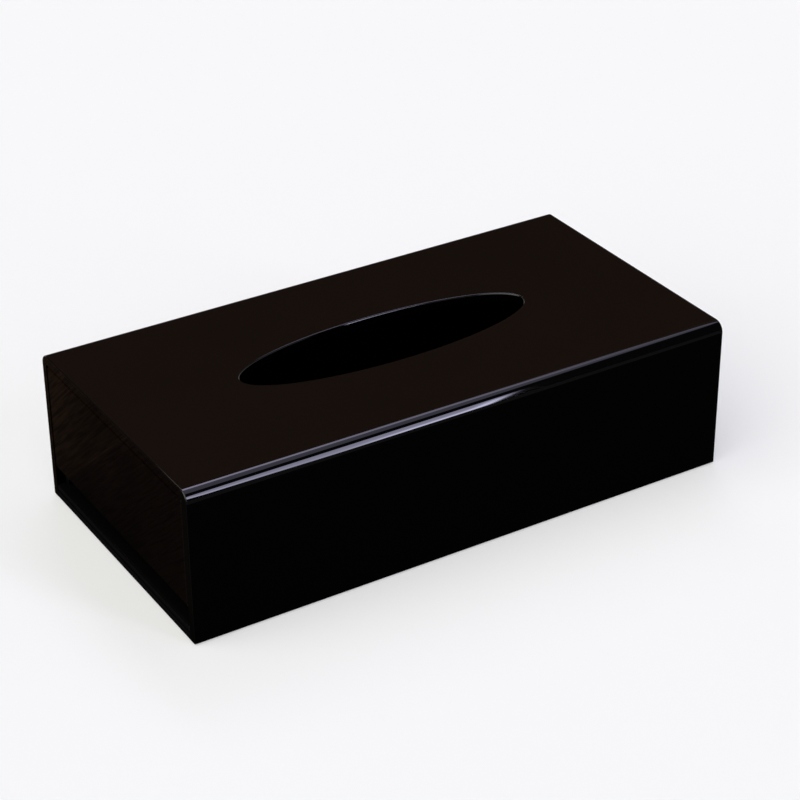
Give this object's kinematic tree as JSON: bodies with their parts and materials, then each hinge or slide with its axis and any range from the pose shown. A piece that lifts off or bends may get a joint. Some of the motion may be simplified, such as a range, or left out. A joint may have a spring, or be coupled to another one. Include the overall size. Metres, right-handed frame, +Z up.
{
  "type": "tissue box with drawer",
  "caption": "Long gloss black acrylic tissue box: one-piece bent cover with an elliptical slot, and a full-length drawer that pulls out of one end.",
  "frame": {"origin": "middle of the plane that the anti-slip pads stand on", "axes": "+X along the box from the drawer front to the closed end, +Y from the long front face to the back, +Z up"},
  "size_m": [0.26, 0.134, 0.0708],
  "materials": {
    "cover_acrylic": "polished cast acrylic sheet, near black with a faint warm brown",
    "front_acrylic": "polished cast acrylic sheet, near black, faint brown diagonal grain",
    "panel_acrylic": "polished cast acrylic sheet, neutral black",
    "foot_rubber": "soft anti-slip pad, dark grey"
  },
  "bodies": {
    "case": {"cover_shell": "cover_acrylic", "base_panel": "panel_acrylic", "closed_end_panel": "panel_acrylic", "foot_pad_front_left": "foot_rubber", "foot_pad_front_right": "foot_rubber", "foot_pad_back_left": "foot_rubber", "foot_pad_back_right": "foot_rubber"},
    "drawer": {"drawer_floor": "panel_acrylic", "drawer_front": "front_acrylic", "drawer_side_front": "panel_acrylic", "drawer_side_back": "panel_acrylic", "drawer_back": "panel_acrylic"}
  },
  "joints": [
    {"name": "drawer_slide", "type": "slide", "parent": "case", "child": "drawer", "axis": [-1, 0, 0], "range_m": [0, 0.21]}
  ]
}
